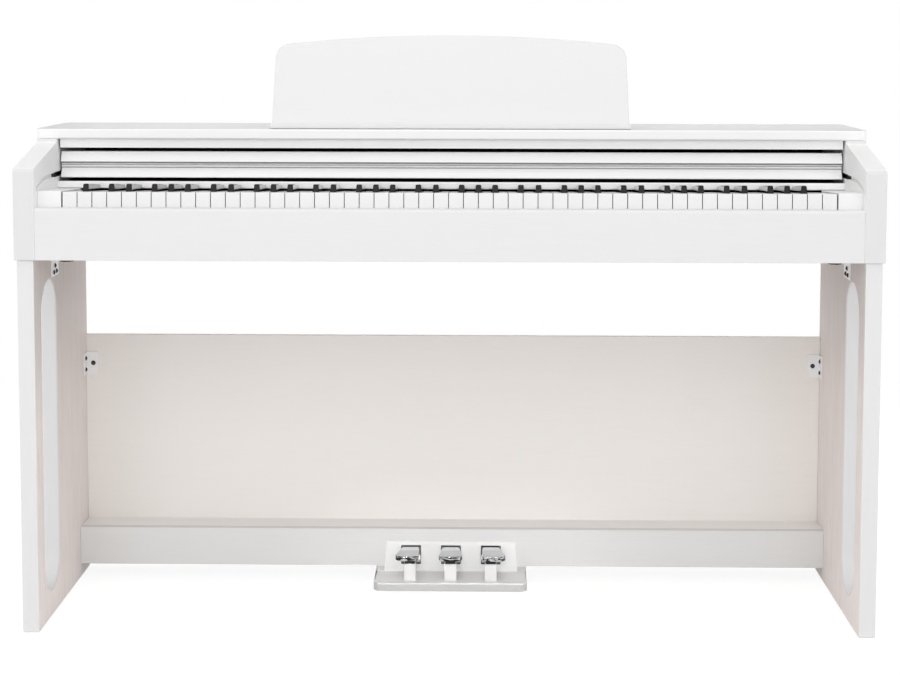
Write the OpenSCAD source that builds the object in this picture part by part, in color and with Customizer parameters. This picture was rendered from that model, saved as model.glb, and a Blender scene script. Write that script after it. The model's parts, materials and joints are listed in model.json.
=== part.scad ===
// Digital piano on its stand: a slim cabinet with 88 hinged keys, a sliding key cover and a
// folding music rest, on two slotted board legs with a back panel and a three pedal unit.
// Origin: middle of the footprint on the floor. The keyboard faces -Y, up is +Z.

/* [Cabinet] */
// Depth from the front of the arms to the back of the cabinet
depth = 406; // [396:1:416]
// Height of the underside of the cabinet above the floor
body_z = 600; // [590:1:620]
// Thickness of the side arms
arm_t = 33; // [28:1:38]
// Height of the vertical front edge of the arms
arm_front_h = 146; // [140:1:150]
// Thickness of the top lid
lid_t = 17; // [14:1:22]
// How far the front edge of the lid lies behind the arm fronts
lid_front = 172; // [168:1:176]
// How far the lid stands out past each arm
lid_overhang = 2; // [1:0.5:5]
// Thickness of the bottom board
bottom_t = 15; // [12:1:18]
// Thickness of the rear panel
rear_t = 12; // [9:1:15]
// Height of the fascia strip under the lid
fascia_h = 15; // [12:0.5:18]
// Thickness of the fascia strip
fascia_t = 12; // [9:1:15]
// Gap at each end of the fascia and the key cover
end_gap = 3; // [2:0.5:4]

/* [Keyboard] */
// Width of one white key with its gap
white_pitch = 23.5; // [23.3:0.1:23.7]
// Gap between neighbouring white keys
key_gap = 1; // [0.8:0.1:1.2]
// Height of the front rail
rail_h = 82.5; // [80:0.5:88]
// Thickness of the front rail
rail_t = 22; // [18:1:24]
// Setback of the front rail behind the arm fronts
rail_set = 1; // [0.5:0.5:2]
// Gap between the rail and the key fronts
key_front_gap = 2.5; // [2.4:0.1:3.5]
// Height of the key fronts that shows above the rail
key_show = 24; // [20:0.5:26]
// Downward slope of the white keys towards the back
key_slope = 3.5; // [3:0.1:3.8]
// Length of the full width front of a white key
head_len = 50; // [48:0.5:52]
// Length of a white key from its front to the cover tray
white_len = 151; // [147:1:155]
// Distance from the key fronts back to the pivot rod
pivot_len = 215; // [208:1:222]
// Depth of the skirt of a white key
key_h = 18; // [16:0.5:19]
// Depth of the front lip of a white key
lip_h = 28; // [27:0.5:30]
// Wall of the moulded keys
key_wall = 1.8; // [1.5:0.1:2.2]
// Thickness of the key top
key_top_t = 2.5; // [2:0.1:3]
// Travel of a white key at its front edge
key_travel = 10; // [9:0.5:10.5]
// Width of a black key at its base
black_w = 10.5; // [10:0.1:11]
// Width of a black key at its top
black_top_w = 8.7; // [8:0.1:9.2]
// Rise of a black key above the white keys at its front
black_rise = 12.5; // [11:0.5:14]
// Rise of a black key above the white keys at its back
black_rear_rise = 10; // [8:0.5:11]
// Visible length of a black key
black_len = 95; // [90:1:97]
// Gap between a black key and the white keys beside it
black_gap = 1; // [0.8:0.1:1.2]
// Diameter of the pivot rod
rod_d = 4; // [3:0.5:5]
// Radial running clearance of a key on the rod
rod_clear = 0.05; // [0.03:0.01:0.09]
// Width of a cheek block beside the keys
cheek_w = 38; // [30:1:45]
// Gap between the keys and a cheek block
cheek_gap = 1.6; // [1:0.1:2]
// Height of a cheek block above the white key fronts
cheek_rise = 1.5; // [1:0.5:3]
// Thickness of the sheet metal of the key chassis
sheet_t = 2.5; // [2:0.1:3]
// Thickness of the felt under the white keys
felt_t = 4; // [3:0.5:5]

/* [Key cover] */
// Clearance of the cover above the black keys
cover_clear = 2; // [1.5:0.5:3]
// Height of the front moulding of the cover
moulding_h = 43.5; // [42:0.5:46]
// Depth of the front moulding
moulding_t = 16; // [14:1:18]
// Setback of the moulding behind the arm fronts
moulding_front = 184; // [182:1:187]
// Thickness of the sliding panel
cover_t = 8; // [6:1:10]
// Gap between the sliding panel and the rear panel
cover_rear_gap = 4; // [3:0.5:10]
// Travel of the cover
cover_travel = 160; // [150:1:162]
// Diameter of the guide rollers
roller_d = 6; // [5:0.5:7]
// Play of a roller in its groove
roller_play = 0.3; // [0.2:0.05:0.5]
// Depth of the guide grooves in the arms
groove_depth = 5.5; // [4:0.5:7]
// Gap between the cover and the tray strip
tray_gap = 5.2; // [4.6:0.1:6]
// Gap between the tray strip and the white keys
tray_key_gap = 3.5; // [3:0.1:4.5]
// Gap between the cover moulding and the fascia
fascia_gap = 6.5; // [5:0.5:8]
// Thickness of the tray strip
tray_t = 12; // [8:1:14]

/* [Music rest] */
// Width of the rest at its foot
rest_w = 592; // [560:2:620]
// Width lost from the foot to the shoulders
rest_taper = 8; // [4:1:16]
// Height of the rest along its slope
rest_h = 156; // [140:1:170]
// Thickness of the rest
rest_t = 9; // [7:1:12]
// Lean of the rest towards the back
rest_lean = 18; // [12:1:24]
// Fall of the crowned top edge from the middle to the corners
rest_crown = 17; // [10:1:20]
// Radius of the top corners
rest_corner = 25; // [15:1:30]
// Distance of the rest hinge behind the front of the lid
rest_back = 28; // [26:1:34]
// Height of the sheet ledge
ledge_h = 8; // [6:0.5:10]
// Distance that the ledge stands out past the width of the rest on each side
ledge_over = 2.5; // [1:0.5:5]

/* [Stand] */
// Thickness of the legs
leg_t = 26.4; // [22:0.2:28]
// Setback of the legs behind the arm fronts
leg_set = 4; // [2:0.5:6]
// Inset of the legs from the outer faces of the arms
leg_inset = 3.6; // [2:0.2:6]
// Width of the slot through each leg
slot_w = 107; // [90:1:120]
// Distance of the slot behind the leg front
slot_set = 50; // [44:1:60]
// Height of the foot of the slot above the floor
slot_z = 43; // [40:1:60]
// Distance from the top of the slot to the top of the leg
slot_top = 45; // [30:1:60]
// Thickness of the back panel
panel_t = 10; // [8:1:12]
// Height of the top of the back panel above the floor
panel_top = 422.5; // [400:0.5:440]
// Height of the underside of the stretcher above the floor
stretcher_z = 24; // [22:0.5:30]
// Height of the stretcher
stretcher_h = 66; // [60:0.5:75]
// Depth of the stretcher box in front of the back panel
stretcher_d = 70; // [66:1:74]
// Thickness of the stretcher boards
stretcher_t = 15; // [12:1:16]

/* [Pedals] */
// Width of the base plate under the pedals
base_w = 265; // [250:1:280]
// Thickness of the base plate
base_t = 15; // [12:0.5:18]
// How far the base plate stands out in front of the stretcher
base_out = 76; // [72:1:84]
// Distance between neighbouring pedals
pedal_pitch = 70; // [66:1:72]
// Width of a pedal where it leaves its slot
pedal_w = 30; // [27:0.5:32]
// Width of a pedal at its tip
pedal_tip_w = 40; // [36:0.5:42]
// How far a pedal reaches out of the panel
pedal_reach = 68; // [62:1:70]
// Thickness of a pedal blade
pedal_t = 3; // [2.5:0.5:4]
// Height of the pedal tops above the floor
pedal_z = 60; // [58:0.5:61]
// Depth of the turned down edge of a pedal
pedal_lip = 8.5; // [7:0.5:10]
// Radius of the corners of a pedal at its tip
pedal_corner = 12; // [8:1:14]
// Downward swing of a pedal in degrees
pedal_swing = 3.4; // [2.8:0.1:3.6]
// Width of the pedal panel at its foot
pedal_panel_w = 234; // [228:1:240]
// Thickness of the pedal panel
pedal_panel_t = 3; // [2:0.5:5]
// Side gap between a pedal and its slot
pedal_gap = 1.3; // [0.8:0.1:1.6]
// Diameter of the pedal rod
pedal_rod_d = 6; // [5:0.5:8]

/* [Hidden] */
eps = 0.01;

// Keyboard layout: white keys are numbered from the left, and key 0 is an A.
white_count = 52;
first_c = 2;
middle_c = 23;
octave = 7;
bank_w = white_count * white_pitch;
// Sideways place of a black key against the joint of its two white keys, for C to B.
black_shift = [-0.1, 0.1, 0, -0.143, 0, 0.143, 0];
slot_cut = black_w + 2 * black_gap;

// Widths, as half widths from the middle.
inner_x = bank_w / 2 + cheek_gap + cheek_w;
outer_x = inner_x + arm_t;
lid_x = outer_x + lid_overhang;
leg_outer = outer_x - leg_inset;
leg_inner = leg_outer - leg_t;

// Places behind the arm fronts.
rail_back = rail_set + rail_t;
key_front = rail_back + key_front_gap;
black_front = key_front + head_len + black_gap;
black_back = black_front + black_len;
tray_front = key_front + white_len;
pivot_back = key_front + pivot_len;
rear_front = depth - rear_t;
hinge_back = lid_front + rest_back;

// Heights of the keyboard and of what is stacked above it.
bottom_top = body_z + bottom_t;
rail_top = body_z + rail_h;
key_top = rail_top + key_show;
function key_line(d) = key_top - (d - key_front) * tan(key_slope);
pivot_z = key_line(pivot_back) - 8;
black_top = key_line(black_front) + black_rise;
cover_z = black_top + cover_clear;
tray_top = cover_z - tray_gap;
tray_z = key_line(tray_front) + tray_key_gap;
moulding_top = cover_z + moulding_h;
fascia_z = moulding_top + fascia_gap;
lid_z = fascia_z + fascia_h;
lid_top = lid_z + lid_t;
groove_z = cover_z + roller_d / 2 + 3.5;
cover_panel_z = groove_z + roller_d / 2 + 0.5;

// Swing of the keys and the felt that they land on.
white_swing = asin(key_travel / pivot_len);
black_swing = 2.9;
felt_gap = 0.3;
felt_front = key_front + 21;
felt_w = 22;
black_felt = black_front + 6;
black_felt_w = 12;
function white_drop(d) = (pivot_back - d) * tan(white_swing);
function black_drop(d) = (pivot_back - d) * tan(black_swing);
landing = key_line(black_felt + black_felt_w) - key_h - white_drop(black_felt + black_felt_w);
felt_top = landing - felt_gap;
shelf_top = felt_top - felt_t;
black_skirt = key_line(black_felt) - black_drop(black_felt) - landing;
deck_z = shelf_top - 11;
shelf_back = black_felt + black_felt_w + 4;

// Stand.
panel_front = depth - panel_t;
stretcher_front_d = panel_front - stretcher_d;
stretcher_top_z = stretcher_z + stretcher_h;
pedal_panel_front = stretcher_front_d - pedal_panel_t;
pedal_tip = pedal_panel_front - pedal_reach;
pedal_pivot = panel_front - 12;
pedal_pivot_z = pedal_z - 11;
pedal_under = pedal_z - pedal_t;
base_front = stretcher_front_d - base_out;
pedal_bay = pedal_panel_w / 2 - 8;
rest_z = lid_top + 3;

// Y of a place that lies d behind the arm fronts.
function back(d) = d - depth / 2;
// Points of an arc in a (depth, height) outline.
function arc(cx, cy, r, a0, a1, n = 8) =
    [for (i = [0:n]) [cx + r * cos(a0 + (a1 - a0) * i / n), cy + r * sin(a0 + (a1 - a0) * i / n)]];

// A (depth, height) outline drawn out along X.
module along_x(x0, x1)
    translate([x0, -depth / 2, 0])
        rotate([90, 0, 90])
            linear_extrude(height = x1 - x0)
                children();

// An (X, height) outline drawn out from one depth to another.
module along_y(d0, d1)
    translate([0, back(d1), 0])
        rotate([90, 0, 0])
            linear_extrude(height = d1 - d0)
                children();

// A block given by its X, depth and height limits.
module block(x, d, z)
    translate([x[0], back(d[0]), z[0]])
        cube([x[1] - x[0], d[1] - d[0], z[1] - z[0]]);

// A shaft or bore along X.
module bar_x(x0, x1, d, z, r)
    translate([x0, back(d), z])
        rotate([0, 90, 0])
            cylinder(r = r, h = x1 - x0, $fn = 32);

// A shaft or bore along Y.
module bar_y(x, d0, d1, z, r)
    translate([x, back(d1), z])
        rotate([90, 0, 0])
            cylinder(r = r, h = d1 - d0, $fn = 32);

// A rectangle about the origin with round corners.
module round_rect(w, h, r) {
    square([w - 2 * r, h], center = true);
    square([w, h - 2 * r], center = true);
    for (x = [-1, 1], y = [-1, 1])
        translate([x * (w / 2 - r), y * (h / 2 - r)])
            circle(r = r, $fn = 32);
}

// Copies a piece to both sides.
module both_sides() {
    children();
    mirror([1, 0, 0]) children();
}

// ---------------------------------------------------------------- cabinet

// Side view of an arm: upright front, shallow slope up to the lid, and a small cove there.
module arm_outline() {
    r = 8;
    cove = 6;
    slope = atan2(lid_z - cove - body_z - arm_front_h, lid_front);
    polygon(concat(
        [[depth, lid_z], [depth, body_z], [0, body_z]],
        arc(r, body_z + arm_front_h - r, r, 180, 90 + slope, 6),
        arc(lid_front - cove, lid_z, cove, -90 + slope, 0, 6)));
}

// Centre line of the guide groove: level at the back, dropping in an arc at the front.
groove_bend = key_front + 77;
groove_r = 240;
groove_nose = 19;

module groove_outline(h) {
    translate([groove_bend, groove_z - h / 2])
        square([rear_front - 8 - groove_bend, h]);
    translate([groove_bend, groove_z - groove_r])
        intersection() {
            difference() {
                circle(r = groove_r + h / 2, $fn = 180);
                circle(r = groove_r - h / 2, $fn = 180);
            }
            translate([groove_nose - groove_bend, groove_r / 2])
                square([groove_bend - groove_nose + eps, groove_r]);
        }
}

module arm()
    difference() {
        along_x(inner_x, outer_x) arm_outline();
        along_x(inner_x - eps, inner_x + groove_depth)
            groove_outline(roller_d + 2 * roller_play);
    }

module left_arm() color("white") mirror([1, 0, 0]) arm();
module right_arm() color("white") arm();

module front_rail() {
    r = 5;
    color("white")
        along_x(-inner_x, inner_x)
            polygon(concat(
                [[rail_back, body_z], [rail_set, body_z]],
                arc(rail_set + r, rail_top - r, r, 180, 90),
                arc(rail_back - 1, rail_top - 1, 1, 90, 0, 3)));
}

speaker_x = 430;
speaker_back = (pivot_back + 22 + rear_front) / 2;
speaker_r = 46;
knob_x = leg_inner - 24;
knob_back = leg_set + 135;
knob_stem = 8;

module bottom_board()
    color("white")
        difference() {
            block([-inner_x, inner_x], [rail_back, rear_front], [body_z, bottom_top]);
            for (side = [-1, 1]) {
                translate([side * speaker_x, back(speaker_back), body_z - 1])
                    cylinder(r = speaker_r, h = bottom_t + 2, $fn = 64);
                translate([side * knob_x, back(knob_back), body_z - 1])
                    cylinder(r = knob_stem / 2 + 0.1, h = bottom_t + 2, $fn = 32);
            }
        }

// The lid has round front corners in plan and an eased front and rear edge.
module top_lid() {
    corner = 12;
    ease = 3;
    color("white")
        intersection() {
            translate([0, back((lid_front + depth) / 2), lid_z])
                linear_extrude(height = lid_t)
                    round_rect(2 * lid_x, depth - lid_front, corner);
            along_x(-lid_x, lid_x)
                polygon(concat(
                    arc(lid_front + ease, lid_z + ease, ease, 270, 180, 5),
                    arc(lid_front + ease, lid_top - ease, ease, 180, 90, 5),
                    arc(depth - ease, lid_top - ease, ease, 90, 0, 5),
                    [[depth, lid_z]]));
        }
}

// Connector panel, set into the back of the cabinet.
jack_x = -250;
jack_z = body_z + 60;
jack_w = 150;
jack_h = 40;
jack_t = 2;

module rear_panel()
    color("white")
        difference() {
            block([-inner_x, inner_x], [rear_front, depth], [body_z, lid_z]);
            along_y(rear_front - 1, depth + 1)
                translate([jack_x, jack_z]) round_rect(jack_w, jack_h, 6);
        }

module upper_fascia()
    color("white")
        block([-inner_x + end_gap, inner_x - end_gap],
            [lid_front + 10, lid_front + 10 + fascia_t], [fascia_z, lid_z]);

// Strip behind the keys with a shelf that covers the key levers.
module cover_tray() {
    r = 2.5;
    shelf_t = 4;
    shelf_top_z = tray_top - 4;
    color("white")
        along_x(-inner_x, inner_x)
            polygon(concat(
                arc(tray_front + r, tray_z + r, r, 270, 180, 4),
                arc(tray_front + r, tray_top - r, r, 180, 90, 5),
                [[tray_front + tray_t, tray_top],
                    [tray_front + tray_t, shelf_top_z],
                    [rear_front, shelf_top_z],
                    [rear_front, shelf_top_z - shelf_t],
                    [tray_front + tray_t, shelf_top_z - shelf_t],
                    [tray_front + tray_t, tray_z]]));
}

// Blocks beside the keys. Their tops fall with the keys and end under the tray strip.
module cheek_blocks() {
    r = 2;
    top = key_top + cheek_rise;
    color("white")
        both_sides()
            along_x(inner_x - cheek_w, inner_x)
                polygon(concat(
                    [[tray_front, bottom_top], [rail_back, bottom_top], [rail_back, rail_top - 4],
                        [rail_back + 1, rail_top - 4]],
                    arc(rail_back + 1 + r, top - r, r, 180, 90, 5),
                    [[tray_front, tray_z]]));
}

// ---------------------------------------------------------------- keys

// Note of a white key, from 0 for C to 6 for B.
function note(i) = (i + octave - first_c) % octave;
// Whether a black key lies between white key i and the next one.
function sharp_after(i) = i >= 0 && i < white_count - 1 && note(i) != 2 && note(i) != 6;
// X of the left edge of white key i, and of the middle of the black key after it.
function white_x(i) = -bank_w / 2 + i * white_pitch;
function black_x(i) = white_x(i + 1) + black_shift[note(i)] * white_pitch;
// Sides of the body and of the narrow tail of white key i.
function left_side(i) = white_x(i) + key_gap / 2;
function right_side(i) = white_x(i + 1) - key_gap / 2;
function tail_left(i) = sharp_after(i - 1) ? black_x(i - 1) + slot_cut / 2 : left_side(i);
function tail_right(i) = sharp_after(i) ? black_x(i) - slot_cut / 2 : right_side(i);
function tail_x(i) = (tail_left(i) + tail_right(i)) / 2;

// Moves what is drawn on level ground at the key front onto the slope of the key tops.
module on_slope()
    translate([0, back(key_front), key_top])
        rotate([-key_slope, 0, 0])
            children();

// Plan of white key i from its front at y = 0, drawn in by inset on every side.
module white_plan(i, inset) {
    left_in = sharp_after(i - 1) ? inset : 0;
    right_in = sharp_after(i) ? inset : 0;
    l = left_side(i) + inset;
    r = right_side(i) - inset;
    tl = max(l, tail_left(i) + inset);
    tr = min(r, tail_right(i) - inset);
    tail_end = white_len + 7 - inset;
    polygon([[l, inset], [r, inset], [r, head_len - right_in], [tr, head_len - right_in],
        [tr, tail_end], [tl, tail_end], [tl, head_len - left_in], [l, head_len - left_in]]);
}

beam_w = 9;
black_beam_w = 7;
boss_r = rod_d / 2 + 2.6;

// Lever from the back of a key to its boss on the rod.
module key_lever(x, w) {
    beam_front = tray_front + 5;
    block([x - w / 2, x + w / 2], [beam_front, pivot_back],
        [pivot_z - boss_r + 1, pivot_z + boss_r - 1]);
    bar_x(x - w / 2, x + w / 2, pivot_back, pivot_z, boss_r);
}

module rod_bore(x, w)
    bar_x(x - w / 2 - 1, x + w / 2 + 1, pivot_back, pivot_z, rod_d / 2 + rod_clear);

// White key: a hollow moulding with a deep front lip, a rounded front edge and a cut for each
// black key beside it.
module white_key(i) {
    round_r = 2;
    difference() {
        union() {
            on_slope()
                difference() {
                    intersection() {
                        translate([0, 0, -lip_h])
                            linear_extrude(height = lip_h) white_plan(i, 0);
                        translate([white_x(i), 0, 0])
                            rotate([90, 0, 90])
                                linear_extrude(height = white_pitch)
                                    polygon(concat(
                                        [[0, -lip_h]],
                                        arc(round_r, -round_r, round_r, 180, 90, 5),
                                        [[white_len + 8, 0], [white_len + 8, -key_h],
                                            [key_wall, -key_h], [key_wall, -lip_h]]));
                    }
                    translate([0, 0, -lip_h - 1])
                        linear_extrude(height = lip_h + 1 - key_top_t) white_plan(i, key_wall);
                }
            key_lever(tail_x(i), beam_w);
        }
        rod_bore(tail_x(i), beam_w);
    }
}

// Side and end views of a black key above and below the white surface.
module black_side() {
    lean = 5;
    u0 = black_front - key_front;
    u1 = u0 + black_len;
    polygon(concat(
        [[u0, -black_skirt], [u0, 1]],
        arc(u0 + lean, black_rise - 3, 3, 160, 90, 5),
        arc(u1 - 2, black_rear_rise - 2, 2, 90, 0, 4),
        [[u1, -1], [u1 + 12, -1], [u1 + 12, -black_skirt]]));
}

module black_end(x)
    polygon([[x - black_w / 2, -black_skirt - 1], [x + black_w / 2, -black_skirt - 1],
        [x + black_w / 2, 0], [x + black_top_w / 2, black_rise - 1.2],
        [x + black_top_w / 2 - 1.2, black_rise], [x - black_top_w / 2 + 1.2, black_rise],
        [x - black_top_w / 2, black_rise - 1.2], [x - black_w / 2, 0]]);

// Black key after white key i.
module black_key(i) {
    x = black_x(i);
    u0 = black_front - key_front;
    difference() {
        union() {
            on_slope()
                difference() {
                    intersection() {
                        translate([x - black_w, 0, 0])
                            rotate([90, 0, 90])
                                linear_extrude(height = 2 * black_w) black_side();
                        translate([0, pivot_len, 0])
                            rotate([90, 0, 0])
                                linear_extrude(height = pivot_len) black_end(x);
                    }
                    translate([x - black_w / 2 + key_wall, u0 + key_wall, -black_skirt - 2])
                        cube([black_w - 2 * key_wall, black_len + 4, black_skirt]);
                }
            key_lever(x, black_beam_w);
        }
        rod_bore(x, black_beam_w);
    }
}

module white_bank(first, last)
    color("ivory")
        for (i = [first:last])
            white_key(i);

module black_bank(first, last)
    color([0.12, 0.12, 0.13])
        for (i = [first:last])
            if (sharp_after(i))
                black_key(i);

module bass_white_keys() white_bank(0, middle_c - 1);
module bass_black_keys() black_bank(0, middle_c - 1);
module treble_white_keys() white_bank(middle_c + octave, white_count - 1);
module treble_black_keys() black_bank(middle_c + octave, white_count - 1);
module key_c() white_bank(middle_c, middle_c);
module key_c_sharp() black_bank(middle_c, middle_c);
module key_d() white_bank(middle_c + 1, middle_c + 1);
module key_d_sharp() black_bank(middle_c + 1, middle_c + 1);
module key_e() white_bank(middle_c + 2, middle_c + 2);
module key_f() white_bank(middle_c + 3, middle_c + 3);
module key_f_sharp() black_bank(middle_c + 3, middle_c + 3);
module key_g() white_bank(middle_c + 4, middle_c + 4);
module key_g_sharp() black_bank(middle_c + 4, middle_c + 4);
module key_a() white_bank(middle_c + 5, middle_c + 5);
module key_a_sharp() black_bank(middle_c + 5, middle_c + 5);
module key_b() white_bank(middle_c + 6, middle_c + 6);

// X of the ribs that carry the rod: at both ends and at each joint of a B and a C.
rib_t = 2;
rib_x = concat([-bank_w / 2 + 3], [for (i = [first_c:octave:white_count - 2]) white_x(i)],
    [bank_w / 2 - 3]);
chassis_back = pivot_back + 8;

// Folded sheet metal under the keys, seen from the side.
module chassis_outline() {
    foot = 14;
    front = felt_front - 12;
    translate([front, bottom_top]) square([sheet_t, shelf_top - bottom_top]);
    translate([front - foot + sheet_t, bottom_top])
        difference() {
            square([foot, sheet_t]);
            square([max(0, rail_back - front + foot - sheet_t + 1), sheet_t + 1]);
        }
    translate([front, shelf_top - sheet_t]) square([shelf_back - front, sheet_t]);
    translate([shelf_back - sheet_t, deck_z]) square([sheet_t, shelf_top - deck_z]);
    translate([shelf_back - sheet_t, deck_z])
        square([chassis_back - shelf_back + sheet_t, sheet_t]);
    translate([chassis_back - sheet_t, bottom_top])
        square([sheet_t, deck_z + sheet_t - bottom_top]);
    translate([chassis_back - sheet_t, bottom_top]) square([foot, sheet_t]);
}

// Chassis with its rod ribs and one guide post inside each key.
module key_chassis() {
    post_r = 2.4;
    black_post_r = 2;
    white_post = felt_front - 7;
    black_post = shelf_back + 6;
    color("dimgray")
        difference() {
            union() {
                along_x(-bank_w / 2 + 1, bank_w / 2 - 1) chassis_outline();
                for (x = rib_x)
                    block([x - rib_t / 2, x + rib_t / 2], [pivot_back - 8, chassis_back],
                        [deck_z, pivot_z + 5]);
                for (i = [0:white_count - 1]) {
                    translate([(left_side(i) + right_side(i)) / 2, back(white_post), shelf_top - 1])
                        cylinder(r = post_r, h = 15, $fn = 24);
                    if (sharp_after(i))
                        translate([black_x(i), back(black_post), deck_z + 1])
                            cylinder(r = black_post_r, h = pivot_z + 2 - deck_z, $fn = 24);
                }
            }
            bar_x(-bank_w, bank_w, pivot_back, pivot_z, rod_d / 2 + 0.02);
        }
}

module key_rod()
    color("silver")
        bar_x(-bank_w / 2 + 1.5, bank_w / 2 - 1.5, pivot_back, pivot_z, rod_d / 2);

// Two felt strips that stop the keys.
module key_felts()
    color("firebrick") {
        block([-bank_w / 2 + 2, bank_w / 2 - 2], [felt_front, felt_front + felt_w],
            [shelf_top, felt_top]);
        block([-bank_w / 2 + 2, bank_w / 2 - 2], [black_felt, black_felt + black_felt_w],
            [shelf_top, felt_top]);
    }

// Circuit strip with a rubber dome under each key.
board_t = 1.6;
contact_front = shelf_back + 14;
contact_w = 36;

module contact_board() {
    spacer = 2.5;
    board_z = deck_z + sheet_t + spacer;
    dome_back = contact_front + contact_w / 2;
    dome_top = key_line(dome_back) - key_h - white_drop(dome_back) - 0.8;
    color("darkgreen") {
        block([-bank_w / 2 + 4, bank_w / 2 - 4], [contact_front, contact_front + contact_w],
            [board_z, board_z + board_t]);
        for (d = [contact_front + 2, contact_front + contact_w - 6])
            block([-bank_w / 2 + 4, bank_w / 2 - 4], [d, d + 4], [deck_z + sheet_t, board_z]);
        for (i = [0:white_count - 1]) {
            translate([tail_x(i), back(dome_back), board_z + board_t])
                cylinder(r1 = 4, r2 = 2.5, h = dome_top - board_z - board_t, $fn = 24);
            if (sharp_after(i))
                translate([black_x(i), back(dome_back), board_z + board_t])
                    cylinder(r1 = 4, r2 = 2.5, h = dome_top - board_z - board_t, $fn = 24);
        }
    }
}

// ---------------------------------------------------------------- electronics

module main_board() {
    w = 200;
    d0 = chassis_back + 24;
    d1 = rear_front - 20;
    z = bottom_top + 8;
    mid = (d0 + d1) / 2;
    color("darkgreen") {
        block([-w / 2, w / 2], [d0, d1], [z, z + board_t]);
        for (x = [-w / 2 + 8, w / 2 - 8], d = [d0 + 8, d1 - 8])
            translate([x, back(d), bottom_top]) cylinder(r = 3, h = 8, $fn = 24);
        for (x = [-60, -10])
            block([x, x + 24], [mid - 12, mid + 12], [z + board_t, z + board_t + 2]);
        for (x = [35, 50, 65])
            translate([x, back(mid + 10), z + board_t]) cylinder(r = 5, h = 16, $fn = 24);
        for (x = [-80, 30])
            block([x, x + 40], [d0 + 3, d0 + 11], [z + board_t, z + board_t + 9]);
    }
}

// Two downward drivers over the holes of the bottom board, each with a round grille below.
module speakers() {
    flange_r = speaker_r + 9;
    grille_t = 2;
    color([0.1, 0.1, 0.1])
        for (side = [-1, 1])
            translate([side * speaker_x, back(speaker_back), 0]) {
                translate([0, 0, bottom_top])
                    rotate_extrude($fn = 64)
                        polygon([[0, 16], [14, 16], [speaker_r - 4, 3], [speaker_r, 0], [flange_r, 0],
                            [flange_r, 3], [speaker_r, 4], [20, 26], [34, 26], [34, 44], [0, 44]]);
                translate([0, 0, body_z - grille_t])
                    difference() {
                        cylinder(r = flange_r, h = grille_t, $fn = 64);
                        for (y = [-4:4])
                            translate([-sqrt(pow(speaker_r, 2) - pow(10 * y, 2)) + 3, 10 * y - 2.5, -1])
                                cube([2 * sqrt(pow(speaker_r, 2) - pow(10 * y, 2)) - 6, 5, 4]);
                    }
            }
}

// Places of the fittings on the connector panel, from its middle.
phones_x = [-58, -36];
phones_r = 3.25;
inlet_x = -12;
pedal_port_x = 10;
button_x = 34;
volume_x = 57;
button_r = 5;
knob_r = 8;
shaft_r = 3;
fit_clear = 0.3;
socket_len = 16;

// Panel with two headphone sockets, a power inlet, a pedal port and holes for the controls.
module jack_panel() {
    front = rear_front - jack_t;
    color([0.15, 0.15, 0.15])
        difference() {
            union() {
                along_y(front, rear_front)
                    translate([jack_x, jack_z]) round_rect(jack_w + 14, jack_h + 14, 6);
                for (x = phones_x)
                    bar_y(jack_x + x, front - socket_len + jack_t, front + eps, jack_z, 6);
                bar_y(jack_x + inlet_x, front - 12, front + eps, jack_z, 7);
                block([jack_x + pedal_port_x - 6, jack_x + pedal_port_x + 6], [front - 14, front + eps],
                    [jack_z - 6, jack_z + 6]);
            }
            for (x = phones_x)
                bar_y(jack_x + x, rear_front - socket_len + 1.5, depth, jack_z, phones_r);
            difference() {
                bar_y(jack_x + inlet_x, front - 9, depth, jack_z, 4.5);
                bar_y(jack_x + inlet_x, front - 10, front, jack_z, 1.2);
            }
            block([jack_x + pedal_port_x - 4, jack_x + pedal_port_x + 4], [front - 10, depth],
                [jack_z - 3, jack_z + 3]);
            bar_y(jack_x + button_x, front - 1, depth, jack_z, button_r + fit_clear);
            bar_y(jack_x + volume_x, front - 1, depth, jack_z, shaft_r + 0.05);
        }
}

module power_button()
    color([0.2, 0.2, 0.2])
        union() {
            bar_y(jack_x + button_x, rear_front - jack_t - 4, rear_front + 3, jack_z, button_r);
            bar_y(jack_x + button_x, rear_front - jack_t - 3, rear_front - jack_t - fit_clear, jack_z,
                button_r + 2);
        }

// Knob with a fluted grip and a pointer ridge, on its shaft.
module volume_knob() {
    flutes = 12;
    color([0.2, 0.2, 0.2])
        union() {
            difference() {
                bar_y(jack_x + volume_x, rear_front + fit_clear, rear_front + 10, jack_z, knob_r);
                for (k = [0:flutes - 1])
                    translate([jack_x + volume_x, 0, jack_z])
                        rotate([0, 360 / flutes * k, 0])
                            translate([0, back(rear_front + 11), knob_r + 0.5])
                                rotate([90, 0, 0]) cylinder(r = 1.2, h = 8, $fn = 16);
            }
            bar_y(jack_x + volume_x, rear_front - jack_t - 8, rear_front + 1, jack_z, shaft_r);
        }
}

// ---------------------------------------------------------------- key cover

cover_x = inner_x - end_gap;
moulding_back = moulding_front + moulding_t;
cover_back = rear_front - cover_rear_gap;

module cover_panel()
    color("white")
        block([-cover_x + 2, cover_x - 2], [moulding_back, cover_back],
            [cover_panel_z, cover_panel_z + cover_t]);

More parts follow.
